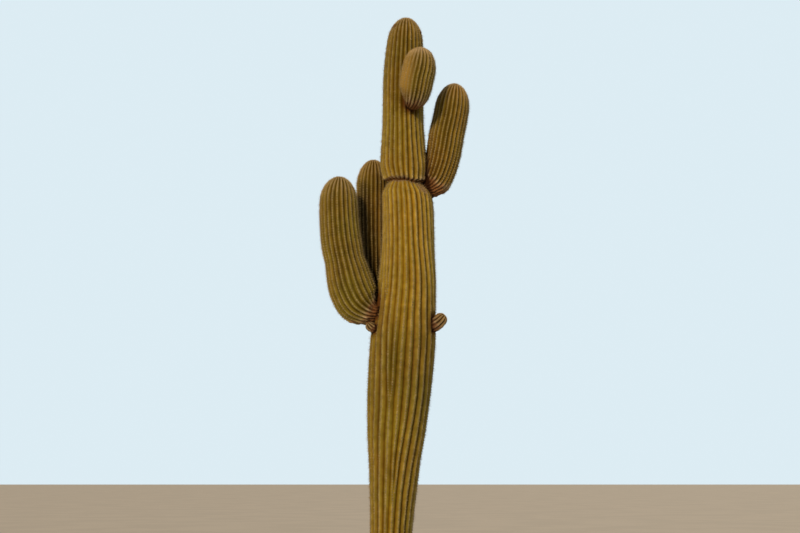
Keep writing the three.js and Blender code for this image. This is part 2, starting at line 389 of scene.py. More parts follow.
def ribReliefTree():
    graph, got, put = newGroup("Rib Relief", "GeometryNodeTree", {
        "Geometry": "Geometry", **dict.fromkeys((*ribForm, "Cork Height", "Gnarl Height"), "Float"),
        "Material": "Material"}, {"Geometry": "Geometry"})
    maths, plus, minus, times = graph.maths, graph.plus, graph.minus, graph.times
    out, noise, named = graph.out, graph.noise, graph.named

    def profile(across):
        off = maths("ABSOLUTE", graph.timesPlus(across, 2.0, -1.0))
        return minus(1.0, maths("POWER", off, got["Crest Power"]))

    place = out("GeometryNodeInputPosition")
    flat = out("ShaderNodeVectorMath", {0: place, 1: (1.0, 1.0, 2.2)}, operation="MULTIPLY")
    rise = graph.mix(named("fork"), profile(named("whole")), profile(named("half")))
    depth = named("depth")
    offset = times(minus(rise, 1.0), depth)
    beat = maths("COSINE", times(named("beats"), math.tau))
    knobs = times(times(beat, got["Knob Height"]), maths("POWER", maths("MAXIMUM", rise, 0.0), 4.0))
    wrinkles = times(minus(noise(flat, 14.0, 3.0, 0.55), 0.5), got["Wrinkle Height"])
    for lumps in (knobs, wrinkles):
        offset = plus(offset, times(lumps, times(depth, 1 / fullRibDepth)))

    # cork: its ragged edge, its crags and the gnarls well inside it
    broad = graph.timesPlus(noise(flat, 5.0, 2.0, 0.5), 0.5, -0.25)
    edge = plus(minus(noise(place, 24.0, 4.0, 0.65), 0.5), broad)
    corky = graph.timesPlus(edge, 1.3, named("cork"))
    cork = graph.ease(corky, 0.4, 0.62)
    crags = times(times(minus(noise(place, 62.0, 4.0, 0.65), 0.42), got["Cork Height"]), cork)
    gnarls = times(minus(noise(place, 23.0, 1.0, 0.5), 0.5), got["Gnarl Height"])
    offset = plus(offset, graph.timesPlus(gnarls, graph.ease(corky, 0.5, 1.05), crags))

    outward = named("outward", "FLOAT_VECTOR")
    move = out("ShaderNodeVectorMath", {0: outward, "Scale": offset}, operation="SCALE")
    shape = out("GeometryNodeSetPosition", {"Geometry": got["Geometry"], "Offset": move})
    for name, value in (("rise", rise), ("corkMask", cork)):
        shape = out("GeometryNodeStoreNamedAttribute", {"Geometry": shape, "Name": name, "Value": value})
    shape = out("GeometryNodeSetShadeSmooth", {"Geometry": shape})
    graph.feed(put["Geometry"], out("GeometryNodeSetMaterial", {
        "Geometry": shape, "Material": got["Material"]}))
    return graph.tree


ribRelief = ribReliefTree()


def addSkin(name, grid, low, high, values, outward):  # rows of a tube, closed at both ends
    rows, columns = grid.shape[:2]
    verts = np.vstack([grid.reshape(-1, 3), low, high])
    ring = [(k, (k + 1) % columns) for k in range(columns)]
    faces = []
    for start in range(0, (rows - 1) * columns, columns):
        faces += [(start + k, start + nextK, start + nextK + columns, start + k + columns)
                  for k, nextK in ring]
    foot, tip, last = rows * columns, rows * columns + 1, (rows - 1) * columns
    for k, nextK in ring:
        faces += [(foot, nextK, k), (tip, last + k, last + nextK)]
    flat = {}
    for key, data in values.items():
        data = np.broadcast_to(data, (rows, columns))
        flat[key] = np.append(data.ravel(), (data[0, 0], data[-1, 0]))
    flat["depth"][-2:] = 0
    out = np.vstack([outward.reshape(-1, 3), np.zeros((2, 3))])
    return addPiece(name, meshOf(name, verts, faces, flat, {"outward": out}))


def widthsOf(start, total):  # from where each rib starts, round the whole limb
    return np.hstack([start[:, 1:], start[:, :1] + total]) - start


def wanderOf(rng, ribs, along, swing):  # how far each valley strays, in rib widths
    stray = np.zeros((len(along), ribs))
    for wave, share in ((1.4, 0.6), (0.55, 0.3), (0.24, 0.1)):
        phase = rng.uniform(0, math.tau, ribs)
        length = wave * rng.uniform(0.8, 1.25, ribs)
        stray += share * np.sin(math.tau * along[:, None] / length + phase)
    return stray * swing


def varyOf(rng, ribs, along):  # how bright each rib is along its length, 0 to 1
    waves = np.sin(math.tau * along / rng.uniform(0.5, 1.1, ribs) + rng.uniform(0, 7, ribs))
    return np.clip(rng.uniform(0.2, 0.8, ribs) + 0.3 * waves, 0, 1)


# the trunk

trunk = {
    "lean": [(0, 0), (1.0, 0.052), (1.9, 0.1), (2.7, 0.157), (3.25, 0.195), (3.9, 0.205),
             (4.33, 0.167), (5.0, 0.161), (5.745, 0.186)],
    "girth": [(0, 0.208), (0.06, 0.187), (0.2, 0.176), (1.0, 0.185), (1.54, 0.223), (1.9, 0.261),
              (2.3, 0.288), (2.7, 0.294), (2.9, 0.280), (3.25, 0.261), (3.55, 0.239), (3.95, 0.231),
              (4.181, 0.223), (4.33, 0.217), (4.56, 0.199), (4.75, 0.189), (5.146, 0.188),
              (5.34, 0.181), (5.745, 0.145)],
    "twist": [(0, 8), (2.3, 8.5), (3.0, 9.5), (3.3, 8), (3.7, 2.5), (4.181, 1), (5.745, -1)],
    "height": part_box("trunk")[1].z,
    "dome": (0.25, 2.5),  # the tip's length and bluntness
    "ribDepth": 0.025,
    "footRibDepth": 0.010,
    "footWornTo": 0.7,
    "footRibs": 20,
    "firstRib": -17,  # its azimuth
    "forkOpensOver": 0.4,
    "forkSpreadsOver": 1.1,
    "forks": {0: 1.2, 5: 1.5, 7: 2.4, 12: 2.7, 14: 1.95, 16: 1.35, 18: 2.95, 19: 2.05},  # rib: height
    "closeAtCrease": (12, 16, 18),
    "swing": 0.06,
    "rowStep": 0.0148,
    "creaseRowStep": 0.005,
    "creaseRowsTo": 0.08,
    "domeRows": 26,
    "ribColumns": 8,
    "seed": 11,
}
crease = {
    "height": 4.181,
    "pinch": (0.046, 0.16, 2),  # above it: depth, reach and power
    "shoulder": (0.072, 0.125, 1.3),  # the same below it, where the pinch is deeper and rounder
    "blend": 0.012,  # the height in which the two meet
    "sag": (0.028, 0.15),  # how far it hangs down in front, and over what height
    "sagFacing": (30, 62),  # azimuth and width of that
    "groove": (0.016, 0.010),  # the tight groove in it: depth and reach
    "wave": 0.008,
    "scallop": 0.011,  # how much lower the crease lies under a rib than under a valley
    "knuckle": (0.010, 0.030, 0.020),  # the ribs' round ends above it: how far out, where, how tall
    "shallow": (0.5, 0.07, 0.02),  # what ribs lose of their depth just below it, from and to where
    "bare": 0.02,  # no areole grows nearer than this
}
trunkLook = {  # pairs are a share and a reach, unless noted
    # duller bands by height: partly older skin, partly painted shade
    "worn": [(0, 0.75), (1.2, 0.65), (1.8, 0.68), (2.3, 0.88), (2.7, 0.82), (3.0, 0.42), (3.3, 0.1),
             (3.6, 0), (4.0, 0), (4.15, 0.15), (4.4, 0.45), (4.7, 0.55), (5.0, 0.9), (5.3, 1.0),
             (5.745, 0.8)],
    "footCork": (0.95, 1.0),
    "creaseCork": (0.8, 0.03),
    "corkHeight": 0.006,
    "near": (0.82, 0.05),  # the shade round the limbs
    "youngTip": (0.02, 0.30),  # from the tip: all young up to the first, not at all past the second
    "tipFuzz": (0.75, 0.05),
    "knucklePale": 0.8,
    "seamReach": (0.011, 0.018),  # of the crease's painted seam shade, in front and at both sides
    "seamWidens": (0.75, 0.97),  # from one to the other, by how far to the side the skin faces
    "grooveShade": 0.5,  # how dark the painted shade in the valleys is, but for those that face the light
    "shallow": (-12, 14),  # azimuth and width of those that face the light
    "lowShade": (0.35, 2.2, 2.9),  # how much darker the valleys are low down, from and to where
}
# corky scars: azimuth, height, half width, half height, share of cork, depth (below 0 where it
# stands out), darkness
trunkScars = [(48, 4.095, 0.05, 0.075, 0.95, 0.004, 0.2), (-58, 5.65, 0.028, 0.024, 0.95, -0.011, 1.0),
              (72, 5.60, 0.018, 0.018, 0.9, -0.009, 1.0), (80, 5.53, 0.016, 0.016, 0.9, -0.009, 1.0),
              (20, 3.2, 0.02, 0.05, 0.5, 0, 0.2), (-40, 2.45, 0.025, 0.03, 0.5, 0, 0),
              (150, 3.4, 0.05, 0.09, 0.7, 0.005, 0.3), (-120, 2.2, 0.04, 0.06, 0.6, 0, 0.2),
              (100, 1.9, 0.04, 0.08, 0.6, 0, 0.2), (200, 4.8, 0.03, 0.05, 0.6, 0.004, 0.3)]
# duller patches: azimuth, height, half width, half height, share
trunkPatches = [(-10, 2.42, 0.055, 0.32, 0.95), (-6, 4.0, 0.05, 0.09, 0.6), (2, 3.28, 0.014, 0.06, 0.7),
                (140, 2.9, 0.07, 0.3, 0.7), (-150, 3.9, 0.06, 0.25, 0.6)]
seatSeamShade = 0.012  # reach of the painted shade round a limb's seat


def trunkRows():
    low, high = crease["height"] - trunk["creaseRowsTo"], crease["height"] + trunk["creaseRowsTo"]
    step = trunk["rowStep"]

    def evenly(low, high, step):
        return np.linspace(low, high, max(2, round((high - low) / step)), endpoint=False)

    return np.concatenate([
        evenly(0, low, step), evenly(low, high, trunk["creaseRowStep"]),
        evenly(high, trunk["height"] - trunk["dome"][0], step),
        domeRows(trunk["dome"], trunk["height"], trunk["domeRows"])])


def trunkRibs(heights):  # for each height, every foot rib's start, width and fork, in rib widths
    ribs, never = trunk["footRibs"], 99.0
    opens = np.array([trunk["forks"].get(rib, never) for rib in range(ribs)])
    closes = [crease["height"] if rib in trunk["closeAtCrease"] else never for rib in range(ribs)]
    above = np.where(heights[:, None] <= closes, heights[:, None] - opens, -1.0)
    fork = smoothStep(above, 0, trunk["forkOpensOver"])
    width = 1 + smoothStep(above, 0, trunk["forkSpreadsOver"])
    total = width.sum(axis=1, keepdims=True)
    start = np.cumsum(width, axis=1) - width
    start = start + wanderOf(np.random.default_rng(trunk["seed"]), ribs, heights, trunk["swing"])
    return start, widthsOf(start, total), fork, total


def aboveCrease(heights, turn, rise):  # the crease waves a little and dips under each rib
    wave = crease["wave"] * np.sin(2 * turn + 1) * np.cos(5 * turn)
    return heights - crease["height"] - wave + crease["scallop"] * rise


def halfTurn(degrees):  # the same direction, from -180 to 180
    return (degrees + 180) % 360 - 180


def sagAt(heights, turn):
    (sag, reach), (facing, width) = crease["sag"], crease["sagFacing"]
    aside = halfTurn(np.degrees(turn) - facing)
    return sag * bell(aside, width) * bell(heights - crease["height"], reach)


def knuckleShare(off, rise):  # 1 on the rounded ends of the ribs above the crease
    _, middle, reach = crease["knuckle"]
    return bell(off - middle, reach) * rise


def trunkShare(heights):  # what it keeps of its girth in its tip
    return domeShare(trunk["dome"], heights, trunk["height"])


def trunkGirth(heights):  # without the pinch
    return valueAt(trunk["girth"], heights) * trunkShare(heights)


def trunkRadius(heights, turn, rise):  # over the crests, with the pinch and its knuckles
    off = aboveCrease(heights, turn, rise)

    def pinchOf(depth, reach, power):
        return depth * np.maximum(0, 1 - np.abs(off) / reach) ** power

    groove, reach = crease["groove"]
    above = smoothStep(off, -crease["blend"], 0)
    pinch = blendOf(pinchOf(*crease["shoulder"]), pinchOf(*crease["pinch"]), above)
    pinch = pinch + groove * np.exp(-np.abs(off) / reach)
    bulge = crease["knuckle"][0] * knuckleShare(off, rise)
    return (valueAt(trunk["girth"], heights) - pinch + bulge) * trunkShare(heights)


def trunkDepth(heights):  # from the crests to the valleys
    loss, start, end = crease["shallow"]
    below = crease["height"] - heights
    under = loss * smoothStep(-below, -start, -end) * (below > 0)
    full = blendOf(trunk["footRibDepth"], trunk["ribDepth"], smoothStep(heights, 0, trunk["footWornTo"]))
    return full * trunkShare(heights) * (1 - under)


def turnOf(position, total, first):  # how far round a place is that is counted in rib widths
    return position / total * math.tau + np.radians(first)


# areoles: how far apart they lie along a crest, where none grows, and how they vary

areoles = {
    "seed": 70, "spacing": 0.024, "tipSpacing": 0.015, "tipZone": 0.30, "leastGirth": 0.012,
    "leastApart": 0.02, "footBare": 0.03, "rootBare": 0.006, "buried": 0.004,
    "smallTip": (0.25, 0.75),  # over what length they grow smaller towards a tip, and to what size
    "tipStray": 0.05,  # how far young and older ones mix where they meet
    "seatStray": 0.008,  # how far dark ones and others mix beside a seat
    "oldShare": (0.1, 0.9),  # of the trunk's straw ones, where it is fresh and where it is most dulled
}


def beatsOf(points, spacing, phase):  # counts areoles along crests: points are rows x crests
    steps = norm(np.diff(points, axis=0), axis=2)
    between = (spacing[1:] + spacing[:-1])[:, None] / 2
    return phase + np.vstack([np.zeros((1, points.shape[1])), np.cumsum(steps / between, axis=0)])


def forkCrest(fork):  # where a forked rib's first crest lies across it, and how high it stands
    power = ribForm["Crest Power"]
    opened = np.clip(fork, 1e-6, 1)
    ratio = np.minimum(((1 - opened) / (2 * opened)) ** (1 / (power - 1)), 1e6)
    across = (1 + ratio) / (4 + 2 * ratio)
    return across, ribRise(across, (2 * across) % 1, fork)


def spacingTo(tip, along):
    near = smoothStep(tip - along, 0, areoles["tipZone"])
    return blendOf(areoles["tipSpacing"], areoles["spacing"], near)


def placeSites(points, outward, beats, keep, toTip):  # where a crest's count passes whole numbers
    found = []  # each site is its place, the ways out and up, and its distance from the tip
    keep = np.broadcast_to(keep, beats.shape)
    for crest in range(points.shape[1]):
        count = beats[:, crest]
        whole = np.arange(math.ceil(count[0]), math.floor(count[-1]) + 1)
        if len(whole) == 0:
            continue
        k = np.clip(np.searchsorted(count, whole) - 1, 0, len(count) - 2)
        t = ((whole - count[k]) / (count[k + 1] - count[k]))[:, None]
        spot = blendOf(points[k, crest], points[k + 1, crest], t)
        up = unit(points[k + 1, crest] - points[k, crest])
        out = unit(blendOf(outward[k, crest], outward[k + 1, crest], t))
        out = unit(out - up * np.sum(out * up, axis=1, keepdims=True))
        row = k + t[:, 0]
        fromTip = np.interp(row, np.arange(len(toTip)), toTip)[:, None]
        good = keep[np.round(row).astype(int).clip(0, len(count) - 1), crest]
        found.append(np.hstack([spot, out, up, fromTip])[good])
    return np.vstack(found)


def buildTrunk():
    heights = trunkRows()
    rows = heights[:, None]
    start, width, fork, total = trunkRibs(heights)
    ribs = np.arange(trunk["footRibs"])
    counts = [trunk["ribColumns"] * (2 if rib in trunk["forks"] else 1) for rib in ribs]
    ribOf = np.repeat(ribs, counts)
    across = np.concatenate([np.arange(count) / count for count in counts])
    first = trunk["firstRib"] + valueAt(trunk["twist"], rows)
    turn = turnOf(start[:, ribOf] + across * width[:, ribOf], total, first)
    forkHere = fork[:, ribOf]
    half = (2 * across) % 1
    rise = ribRise(across, half, forkHere)
    middle = np.stack([valueAt(trunk["lean"], heights), 0 * heights, heights], axis=1)

    def surface(turn, reach):
        outward = np.stack([np.sin(turn), -np.cos(turn), 0 * turn], axis=2)
        points = middle[:, None, :] + outward * reach[:, :, None]
        points[:, :, 2] -= sagAt(rows, turn)
        return points, outward

    radius = trunkRadius(rows, turn, rise)
    grid, outward = surface(turn, radius)

    # the two crest lines of every rib, and the areoles on them
    firstAcross, firstRise = forkCrest(fork)
    crests = []
    for place in (firstAcross, 1 - firstAcross):
        crestTurn = turnOf(start + place * width, total, first)
        reach = trunkRadius(rows, crestTurn, firstRise) - trunkDepth(rows) * (1 - firstRise)
        crests.append(surface(crestTurn, reach))
    rng = np.random.default_rng(trunk["seed"] + 1)
    beats = beatsOf(crests[0][0], spacingTo(trunk["height"], heights), rng.uniform(0, 1, len(ribs)))
    keep = (np.abs(rows - crease["height"]) > crease["bare"]) & (rows > areoles["footBare"])
    keep = keep & (trunkGirth(rows) > areoles["leastGirth"])
    apart = (1 - 2 * firstAcross) * width / total * math.tau * valueAt(trunk["girth"], rows)
    toTip = trunk["height"] - heights
    sites = np.vstack([
        placeSites(*crests[0], beats, keep, toTip),
        placeSites(*crests[1], beats + 0.5 * fork, keep & (apart > areoles["leastApart"]), toTip)])

    # cork at the foot and the crease, scars, duller patches and the shade in the valleys
    off = aboveCrease(rows, turn, rise)
    (footCork, footReach), (creaseCork, creaseReach) = trunkLook["footCork"], trunkLook["creaseCork"]
    ragged = 0.16 * np.sin(2 * turn + 0.6) + 0.11 * np.sin(5 * turn + 2) + 0.07 * np.sin(9 * turn)
    cork = np.maximum(footCork * (1 - smoothStep(rows + ragged, 0, footReach)),
                      creaseCork * bell(off, creaseReach))
    vary = varyOf(rng, 2 * len(ribs), rows)[:, 2 * ribOf + (across >= 0.5)]
    # painted shade in the valleys: none in those that face the light, more low down
    (facing, wide), (lowShade, lowStart, lowEnd) = trunkLook["shallow"], trunkLook["lowShade"]
    dark = (1 - rise) ** 1.5 * (1 - bell(halfTurn(np.degrees(turn)) - facing, wide))
    dark = trunkLook["grooveShade"] * dark * (1 + lowShade * (1 - smoothStep(rows, lowStart, lowEnd)))

    def spotOn(azimuth, height, wide, tall):  # 1 in the middle of a soft oval patch
        offTurn = np.radians(halfTurn(np.degrees(turn) - azimuth))
        return bell(offTurn * radius, wide) * bell(rows - height, tall)

    for *spot, share, dent, shade in trunkScars:
        scar = spotOn(*spot)
        cork = np.maximum(cork, share * scar)
        dark = np.maximum(dark, shade * scar)
        grid = grid - outward * (dent * scar)[:, :, None]
    for *spot, share in trunkPatches:
        vary = vary - share * spotOn(*spot)

    # bleached knuckles and tip, the painted shade round the limbs, and the painted shade in the crease
    # and round each seat
    bright = rng.uniform(0.1, 1.0, len(ribs))[ribOf]
    (fuzz, fuzzReach), (nearShare, nearReach) = trunkLook["tipFuzz"], trunkLook["near"]
    pale = np.maximum(trunkLook["knucklePale"] * knuckleShare(off, rise**3) * bright,
                      fuzz * smoothStep(rows, trunk["height"] - fuzzReach, trunk["height"]) * rise)
    toLimbs = np.maximum(gapToLimbs(grid), 0)
    aside = smoothStep(np.abs(np.sin(turn)), *trunkLook["seamWidens"])
    seamReach = blendOf(*trunkLook["seamReach"], aside)
    return addSkin("trunkSkin", grid, middle[0], (middle[-1][0], 0, trunk["height"]), {
        "seam": np.maximum(bell(off, seamReach), bell(toLimbs, seatSeamShade)),
        "near": np.maximum(dark, nearShare * bell(toLimbs, nearReach)),
        "worn": valueAt(trunkLook["worn"], rows), "pale": pale, "vary": vary, "cork": cork,
        "whole": across, "half": half, "fork": forkHere, "depth": trunkDepth(rows),
        "age": 1 - smoothStep(trunk["height"] - rows, *trunkLook["youngTip"]),
        "beats": beats[:, ribOf] + 0.5 * forkHere * (across >= 0.5),
    }, outward), sites


# arms and buds. The path is (out, up) from the seat in the trunk's middle. The girth and the sway
# to the side are by distance along it. Pale is (share and reach at the tip, share of the painted light
# on the left side), and the root's painted shade is (share, reach). The twist is from end to end, in
# degrees.

limbs = {
    "left_arm": {
        "azimuth": -85, "seat": 2.95, "ribDepth": 0.021, "dome": (0.25, 2),
        "path": [(0.2, 0), (0.31, 0.01), (0.408, 0.076), (0.472, 0.19), (0.53, 0.39), (0.586, 0.667),
                 (0.61, 1.022), (0.602, 1.248)],
        "girth": [(0, 0.09), (0.11, 0.121), (0.23, 0.195), (0.362, 0.208), (0.45, 0.205), (0.566, 0.192),
                  (0.66, 0.180), (0.78, 0.183), (0.9, 0.181), (1.201, 0.173)],
        "corkReach": 0.07, "lobe": 0.014, "ragged": 0.45, "nearReach": 0.09,
        "rootShade": (0.25, 0.13), "bare": 0.04, "gnarl": 0.075,
    },
    "back_arm": {
        "azimuth": -133, "seat": 3.11, "ribDepth": 0.019, "dome": (0.265, 2),
        "path": [(0.19, -0.02), (0.262, 0), (0.35, 0.056), (0.398, 0.18), (0.412, 0.44), (0.42, 0.79),
                 (0.422, 1.09), (0.422, 1.334)],
        "girth": [(0, 0.062), (0.075, 0.08), (0.179, 0.122), (0.312, 0.141), (0.572, 0.151),
                  (0.922, 0.156), (1.222, 0.159)],
        "corkReach": 0.05, "lobe": 0.008, "nearReach": 0.115, "beside": "left_arm", "warm": 0.5,
    },
    "right_arm": {
        "azimuth": 97, "seat": 4.142, "ribDepth": 0.019, "dome": (0.275, 2.2),
        "path": [(0.14, -0.045), (0.213, -0.022), (0.268, 0.032), (0.313, 0.14), (0.349, 0.283),
                 (0.382, 0.474), (0.423, 0.663), (0.471, 0.977)],
        "girth": [(0, 0.07), (0.076, 0.1), (0.153, 0.138), (0.268, 0.151), (0.412, 0.16),
                  (0.605, 0.163), (0.8, 0.16)],
        "corkReach": 0.05, "lobe": 0.006, "pale": (0.3, 0.08, 0), "nearReach": 0.10,
        "rootShade": (0.3, 0.09), "bare": 0.04, "warm": 0.75, "gnarl": 0.035,
    },
    "upper_arm": {
        "azimuth": 24, "seat": 4.866, "ribDepth": 0.016, "dome": (0.205, 2.7),
        "path": [(0.12, -0.004), (0.178, 0), (0.26, 0.02), (0.33, 0.09), (0.352, 0.232),
                 (0.361, 0.368), (0.366, 0.473)],
        "girth": [(0, 0.044), (0.058, 0.058), (0.112, 0.088), (0.15, 0.108), (0.25, 0.143),
                  (0.34, 0.153), (0.42, 0.152), (0.54, 0.142)],
        "sway": [(0, 0), (0.14, -0.009), (0.256, -0.025), (0.34, -0.016), (0.43, -0.003), (0.53, 0.004),
                 (0.62, 0.006)],
        "twist": 16,
        "corkReach": 0.085, "lobe": 0.005, "pale": (0.95, 0.11, 0.9), "nearReach": 0.10,
        "rootShade": (0.62, 0.19), "bare": 0.10,
    },
    "right_bud": {
        "azimuth": 73, "seat": 2.822, "ribs": 10, "ribDepth": 0.015, "dome": (0.054, 2.3),
        "path": [(0.215, -0.004), (0.28, 0.013), (0.334, 0.048), (0.381, 0.096)],
        "girth": [(0, 0.071), (0.068, 0.069), (0.11, 0.064), (0.15, 0.059), (0.199, 0.056)],
        "corkReach": 0.03, "lobe": 0.004,
    },
    "left_bud": {
        "azimuth": -69, "seat": 2.82, "ribs": 8, "ribDepth": 0.008, "dome": (0.038, 2.2),
        "path": [(0.24, -0.032), (0.288, -0.026), (0.323, -0.008), (0.35, 0.022)],
        "girth": [(0, 0.036), (0.043, 0.04), (0.082, 0.041), (0.127, 0.038)],
        "corkReach": 0.02, "lobe": 0.002,
    },
}
plainLimb = {
    "ribs": 24, "ragged": 0.3, "nearReach": 0.055, "rootShade": (0, 0.1), "bare": 0.0, "gnarl": 0.0,
    "warm": 0.0, "pale": (0, 0.1, 0), "twist": 0, "sway": [(0, 0), (1, 0)], "beside": None,
}
limbs = {name: {**plainLimb, **limb} for name, limb in limbs.items()}
armForm = {
    "look": "arm", "seed": 40, "rowStep": 0.0115, "domeRows": 22, "ribColumns": 8,
    "swing": 0.05, "wanderFrom": 3.0,
    "rootInside": 0.07,  # how deep in the trunk its skin starts
    "lobeShare": 0.38,  # the ribs' rounded starts, by the reach of the cork
    "lobePale": 0.85,
    "corkEdge": (-0.012, 0.008),
    "corkHeight": 0.008,
    "litSideFacing": (0.1, 0.65),  # how far the side with painted light turns left, where it starts and where it is full
    "litSideFades": (0.5, 0.9),  # where along the limb it loses half
    "youngTip": (0.02, 0.26),
    "nearShade": 0.9,
    "besideShade": 2.4,  # how dark the painted shadow on the ribs beside another limb is, and within what reach
    "besideReach": (0.15, 0.22),
    "areoleSize": 1,
    "youngReach": 0.20,  # of the young areoles, from the tip
    "darkReach": 0.045,  # of the dark ones, which paint the shade beside a seat, from the skin that they stand beside
}
budForm = {
    **armForm, "look": "bud", "swing": 0.12, "rowStep": 0.005, "domeRows": 12, "rootInside": 0.03,
    "nearShade": 0.3, "areoleSize": 0.6, "youngReach": 0.42, "darkReach": 0.02,
}


def formOf(name):
    return budForm if name.endswith("bud") else armForm


def limbAxis(limb):  # dense middle line, the distances along it, and the way to its side
    azimuth = math.radians(limb["azimuth"])
    out = np.array([math.sin(azimuth), -math.cos(azimuth), 0])
    side = np.array([math.cos(azimuth), math.sin(azimuth), 0])
    flat = smoothPath(limb["path"])
    base = np.array([float(valueAt(trunk["lean"], limb["seat"])), 0, limb["seat"]])
    line = base + flat[:, :1] * out + flat[:, 1:] * np.array([0, 0, 1.0])
    runs = np.append(0, np.cumsum(norm(np.diff(line, axis=0), axis=1)))
    return line + valueAt(limb["sway"], runs)[:, None] * side, runs, side


def gapTo(points, line, girths):  # from each point to the skin round a middle line
    return (norm(points[..., None, :] - line, axis=-1) - girths).min(axis=-1)


def gapToLimbs(points):  # from each point to the nearest limb's skin beside its seat
    seatZone, farthest = 0.4, 0.6
    nearest = np.full(points.shape[:-1], 9.0)
    for limb in limbs.values():
        line, runs, _ = limbAxis(limb)
        spots, places = line[runs < seatZone][::10], runs[runs < seatZone][::10]
        near = norm(points - spots[0], axis=-1) < farthest
        gaps = gapTo(points[near], spots, valueAt(limb["girth"], places))
        nearest[near] = np.minimum(nearest[near], gaps)
    return nearest


def gapToLimb(limb, points, step):  # from each point to one whole limb's skin, by its line's steps
    line, runs, _ = limbAxis(limb)
    return gapTo(points, line[::step], girthAt(limb, runs, runs[-1])[::step])


def depthInTrunk(points):  # how far inside the trunk's crests each point lies
    x, y, z = np.moveaxis(points, -1, 0)
    return trunkGirth(np.clip(z, 0, trunk["height"])) - np.hypot(x - valueAt(trunk["lean"], z), y)


def buildLimb(name, seed):
    limb, form = limbs[name], formOf(name)
    rng = np.random.default_rng(seed)
    line, runs, side = limbAxis(limb)
    length, domeLength = runs[-1], limb["dome"][0]
    inside = depthInTrunk(line)
    root = runs[np.argmax(inside < form["rootInside"])]
    skinAt = runs[np.argmax(inside < 0)]
    count = round((length - domeLength - root) / form["rowStep"])
    distances = np.concatenate([np.linspace(root, length - domeLength, count, endpoint=False),
                                domeRows(limb["dome"], length, form["domeRows"])])
    rows = distances[:, None]

    def along(shift):
        return np.stack([np.interp(distances + shift, runs, values) for values in line.T], axis=1)

    middle = along(0)
    under = np.cross(side, unit(along(0.004) - along(-0.004)))
    radius = girthAt(limb, rows, length)
    full = float(valueAt(limb["girth"], length - domeLength))
    ribs, perRib = limb["ribs"], form["ribColumns"]
    start = np.arange(ribs) + wanderOf(rng, ribs, distances + form["wanderFrom"], form["swing"])
    width = widthsOf(start, ribs)
    ribOf = np.repeat(np.arange(ribs), perRib)
    across = np.tile(np.arange(perRib) / perRib, ribs)
    rise = ribRise(across, across, 0)

    def surface(position, reach):
        turn = turnOf(position, ribs, limb["twist"] * (rows / length - 0.5))
        outward = under[:, None, :] * np.cos(turn)[:, :, None] + side * np.sin(turn)[:, :, None]
        return middle[:, None, :] + outward * reach[:, :, None], outward

    # the cork round the root, where each rib starts with a rounded lobe
    seatTurn = math.tau * ribOf / ribs
    stray = rng.uniform(-limb["ragged"], limb["ragged"], ribs)[ribOf]
    beyond = rows - skinAt - limb["corkReach"] * (1 + 0.35 * np.cos(seatTurn) + stray)
    lobe = bell(beyond, form["lobeShare"] * limb["corkReach"]) * rise**2
    grid, outward = surface(start[:, ribOf] + across * width[:, ribOf], radius + limb["lobe"] * lobe)
    toTrunk = np.maximum(-depthInTrunk(grid), 0)

    # the crests and the areoles on them
    points, out = surface(start + 0.5 * width, np.broadcast_to(radius, start.shape))
    beats = beatsOf(points, spacingTo(length, distances) * form["areoleSize"], rng.uniform(0, 1, ribs))
    keep = (radius > areoles["leastGirth"]) & (rows > skinAt + limb["bare"])
    keep = keep & (depthInTrunk(points) < -areoles["rootBare"])
    sites = placeSites(points, out, beats, keep, length - distances)

    # bleached lobes and tip, painted light on the left side, and painted shade at the root and beside
    # another limb
    pale = form["lobePale"] * lobe * rise * rng.uniform(0.2, 1.0, ribs)[ribOf]
    tipPale, tipReach, litSideShare = limb["pale"]
    tipPale = tipPale * smoothStep(rows, length - tipReach, length) * (0.35 + 0.65 * rise)
    tan = smoothStep(-outward[:, :, 0], *form["litSideFacing"])
    tan = tan * (1 - 0.5 * smoothStep(rows / length, *form["litSideFades"]))
    vary = varyOf(rng, ribs, rows)[:, ribOf]
    rootShade, shadeReach = limb["rootShade"]
    rootShade = rootShade * (1 - smoothStep(rows - skinAt, 0.5 * shadeReach, shadeReach))
    near = form["nearShade"] * bell(toTrunk, limb["nearReach"])
    near = np.maximum(near * (1 - 0.45 * rise), rootShade * (1 - 0.15 * rise))
    # painted shadow from the limb beside it
    if limb["beside"]:
        gaps = gapToLimb(limbs[limb["beside"]], grid, 15)
        vary = vary - form["besideShade"] * (1 - smoothStep(gaps, *form["besideReach"]))
    return addSkin(name + "Skin", grid, middle[0], line[-1], {
        "seam": bell(toTrunk, seatSeamShade), "pale": np.maximum(pale, tipPale), "near": near,
        "tan": litSideShare * tan, "vary": vary, "warm": limb["warm"], "whole": across, "half": across,
        "fork": 0, "depth": limb["ribDepth"] * np.minimum(1, radius / full), "beats": beats[:, ribOf],
        "age": 1 - smoothStep(length - rows, *form["youngTip"]),
        "cork": 1 - smoothStep(beyond, *form["corkEdge"]),
    }, outward), sites


def growSkin(skin, look, node, corkHeight, gnarlHeight):
    growNodes(skin, ribRelief, {**ribForm, "Cork Height": corkHeight, "Gnarl Height": gnarlHeight,
                                "Material": skinMaterials[look]})
    settle(skin, look + "_skin", node)


allSites = {}
trunkSkin, allSites["trunk"] = buildTrunk()
growSkin(trunkSkin, "trunk", "trunk", trunkLook["corkHeight"], 0.0)
trunkSkin.data.set_sharp_from_angle(angle=math.radians(60))
for number, (name, limb) in enumerate(limbs.items()):
    form = formOf(name)
    skin, allSites[name] = buildLimb(name, form["seed"] + number)
    growSkin(skin, form["look"], name, form["corkHeight"], limb["gnarl"])
    free = gapToLimb(limb, allSites["trunk"][:, :3], 6) >= -areoles["buried"]
    allSites["trunk"] = allSites["trunk"][free]
print("skins:", {name: len(sites) for name, sites in allSites.items()}, "areoles")


# spine clusters and their felt pads, a few shapes of each, set on every areole

